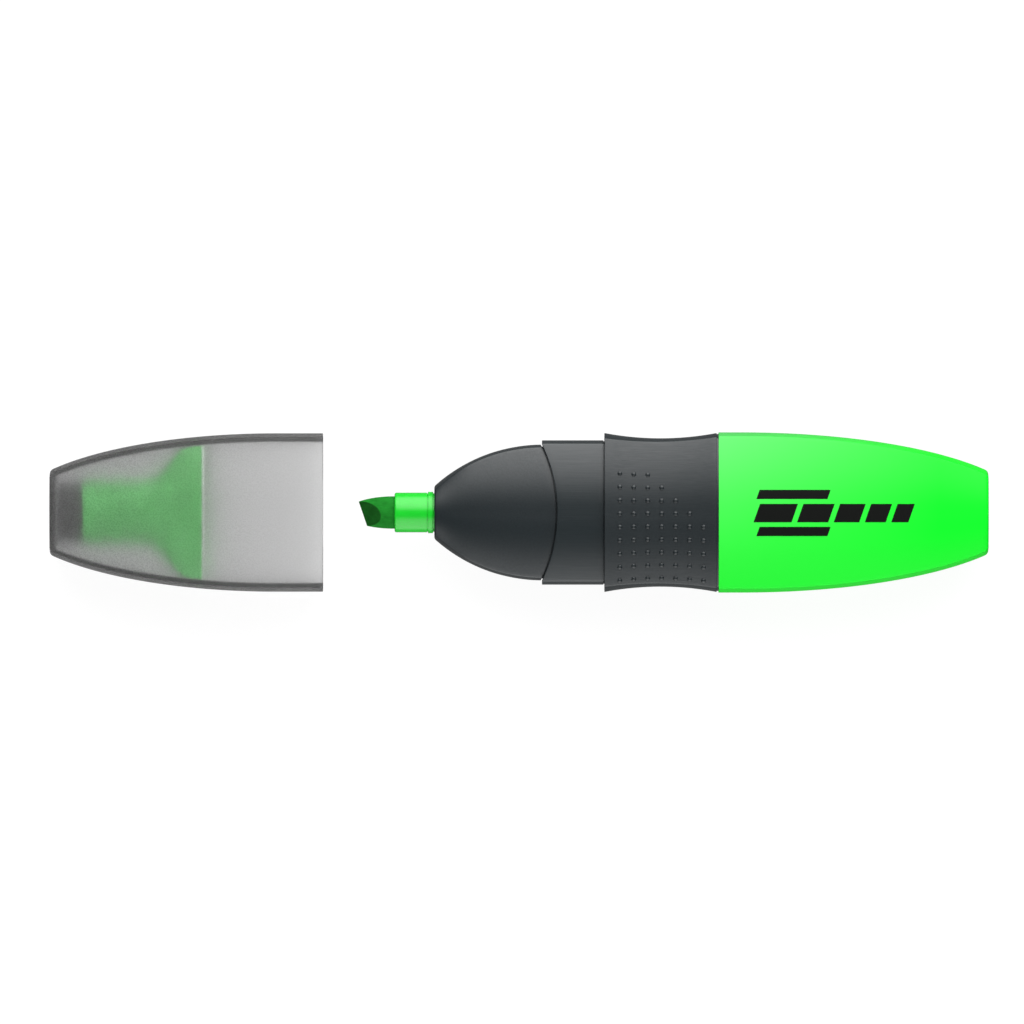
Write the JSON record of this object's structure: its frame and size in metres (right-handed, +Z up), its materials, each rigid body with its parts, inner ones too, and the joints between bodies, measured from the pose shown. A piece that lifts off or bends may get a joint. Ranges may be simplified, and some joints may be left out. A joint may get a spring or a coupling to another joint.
{
  "type": "highlighter pen",
  "caption": "Flat-bodied highlighter with a chisel nib, dark grip with raised dots and a translucent pull-off cap that slides along the pen.",
  "frame": {"origin": "on the surface that the pen lies on, below the middle of the box round the pen and its drawn-off cap", "axes": "+X along the pen towards the barrel's closed end, Y across the broad faces, +Z up through the thickness"},
  "size_m": [0.1534, 0.0262, 0.015],
  "materials": {
    "cap_frosted_smoke": "frosted translucent grey polypropylene",
    "liner_green": "satin moulded polypropylene",
    "nib_felt": "ink-soaked bonded fibre",
    "holder_green": "glossy moulded plastic",
    "nose_dark": "satin charcoal moulded plastic",
    "collar_dark": "satin charcoal with fine lengthways drawing lines",
    "grip_dark": "soft-touch charcoal with raised dots",
    "barrel_green": "smooth fluorescent green, with a plain black pad-printed motif",
    "film_clear": "thin wrapped film",
    "reservoir_fibre": "ink-soaked polyester fibre"
  },
  "bodies": {
    "pen": {"nib": "nib_felt", "nib_holder": "holder_green", "nose_cone": "nose_dark", "neck_collar": "collar_dark", "grip_sleeve": "grip_dark", "barrel": "barrel_green", "reservoir_film": "film_clear", "ink_reservoir": "reservoir_fibre"},
    "cap": {"cap_shell": "cap_frosted_smoke", "inner_cap": "liner_green"}
  },
  "joints": [
    {"name": "cap_slide", "type": "slide", "parent": "pen", "child": "cap", "axis": [1, 0, 0], "range_m": [0, 0.0457]}
  ]
}
